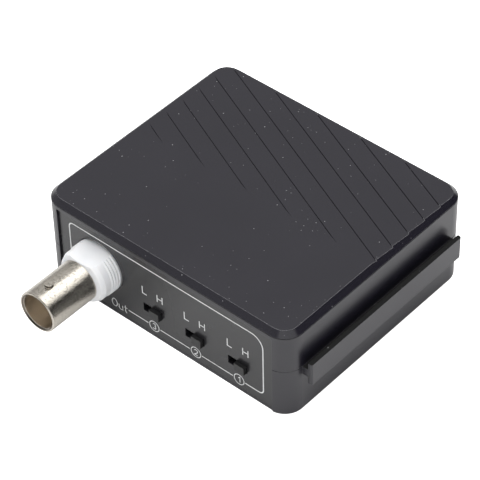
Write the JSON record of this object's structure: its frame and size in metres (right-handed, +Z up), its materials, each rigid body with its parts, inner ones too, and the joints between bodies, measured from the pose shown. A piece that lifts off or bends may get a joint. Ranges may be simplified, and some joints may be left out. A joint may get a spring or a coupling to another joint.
{
  "type": "cctv video balun",
  "caption": "Flat dark plastic box that passes a camera's video signal between a coaxial bayonet socket and a twisted pair, with slide switches on its front panel.",
  "frame": {"origin": "middle of the case's underside, on the surface it stands on", "axes": "+Z up, -Y towards the front panel with the coaxial socket, +X to the right seen from the front"},
  "size_m": [0.0724, 0.0765, 0.0233],
  "materials": {
    "case": "fine spark-eroded grain",
    "panel": "smooth satin, printed in white at the front",
    "board": "solder mask over glass laminate",
    "white_nylon": "satin",
    "nickel": "bright nickel plating",
    "insulator": "waxy",
    "contact_brass": "gilded",
    "tin": "tinned",
    "switch_steel": "plain plated",
    "switch_base": "pressed laminate",
    "knob": "satin",
    "black_plastic": "satin",
    "jack_metal": "nickel plated",
    "terminal_green": "satin",
    "screw_steel": "zinc plated",
    "led_red": "tinted clear",
    "chip_black": "matt",
    "can_sleeve": "shrunk sleeve",
    "ferrite": "sintered",
    "copper": "enamelled copper wire",
    "surge_tube": "glazed ceramic"
  },
  "bodies": {
    "case": {"upper_shell": "case", "lower_shell": "case", "front_panel": "panel", "rear_panel": "panel", "circuit_board": "board", "bnc_housing": "white_nylon", "bnc_barrel": "nickel", "bnc_dielectric": "insulator", "bnc_contact": "contact_brass", "bnc_pins": "tin", "switch_1_pins": "tin", "switch_2_pins": "tin", "switch_3_pins": "tin", "jack_tails": "tin", "terminal_pins": "tin", "led_leads": "tin", "chip_leads": "tin", "switch_1_frame": "switch_steel", "switch_2_frame": "switch_steel", "switch_3_frame": "switch_steel", "switch_1_base": "switch_base", "switch_2_base": "switch_base", "switch_3_base": "switch_base", "jack_body": "black_plastic", "jack_pin": "jack_metal", "terminal_body": "terminal_green", "terminal_screws": "screw_steel", "terminal_cages": "screw_steel", "case_screws": "screw_steel", "led_lens": "led_red", "amplifier_chip": "chip_black", "filter_capacitors": "can_sleeve", "choke_core": "ferrite", "choke_winding": "copper", "surge_tubes": "surge_tube"},
    "knob_right": {"switch_1_knob": "knob"},
    "knob_middle": {"switch_2_knob": "knob"},
    "knob_left": {"switch_3_knob": "knob"}
  },
  "joints": [
    {"name": "slide_right", "type": "slide", "parent": "case", "child": "knob_right", "axis": [1, 0, 0], "range_m": [-0.0022, 0]},
    {"name": "slide_middle", "type": "slide", "parent": "case", "child": "knob_middle", "axis": [1, 0, 0], "range_m": [-0.0022, 0]},
    {"name": "slide_left", "type": "slide", "parent": "case", "child": "knob_left", "axis": [1, 0, 0], "range_m": [-0.0022, 0]}
  ]
}
